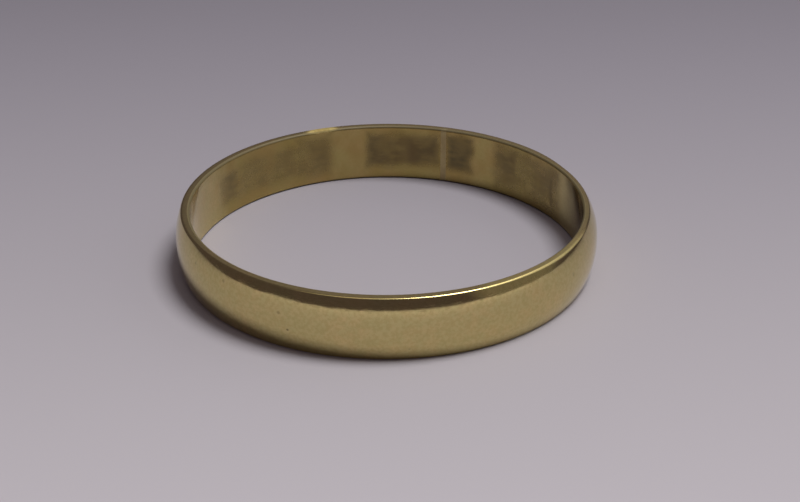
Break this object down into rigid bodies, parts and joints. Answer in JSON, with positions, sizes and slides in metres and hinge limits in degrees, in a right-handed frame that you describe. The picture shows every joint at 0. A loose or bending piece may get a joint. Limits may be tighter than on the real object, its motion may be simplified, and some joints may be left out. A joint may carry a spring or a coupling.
{
  "type": "wedding band",
  "caption": "Thin low-domed gold ring with a flat-walled bore, small rounded rims, one solder seam and shallow blank stamps inside.",
  "frame": {"origin": "on the bore's axis, in the plane of the rim that the ring lies on", "axes": "+Z along the bore's axis, up from the rim it lies on; +X and +Y across the ring; the solder seam lies 71.7 degrees from +X towards +Y"},
  "size_m": [0.0202, 0.0202, 0.003],
  "materials": {
    "gold": "worn polish, dull in the stamps",
    "solder": "bright, lightly scratched"
  },
  "bodies": {
    "root": {"band": "gold", "solder_seam": "solder"}
  },
  "joints": []
}
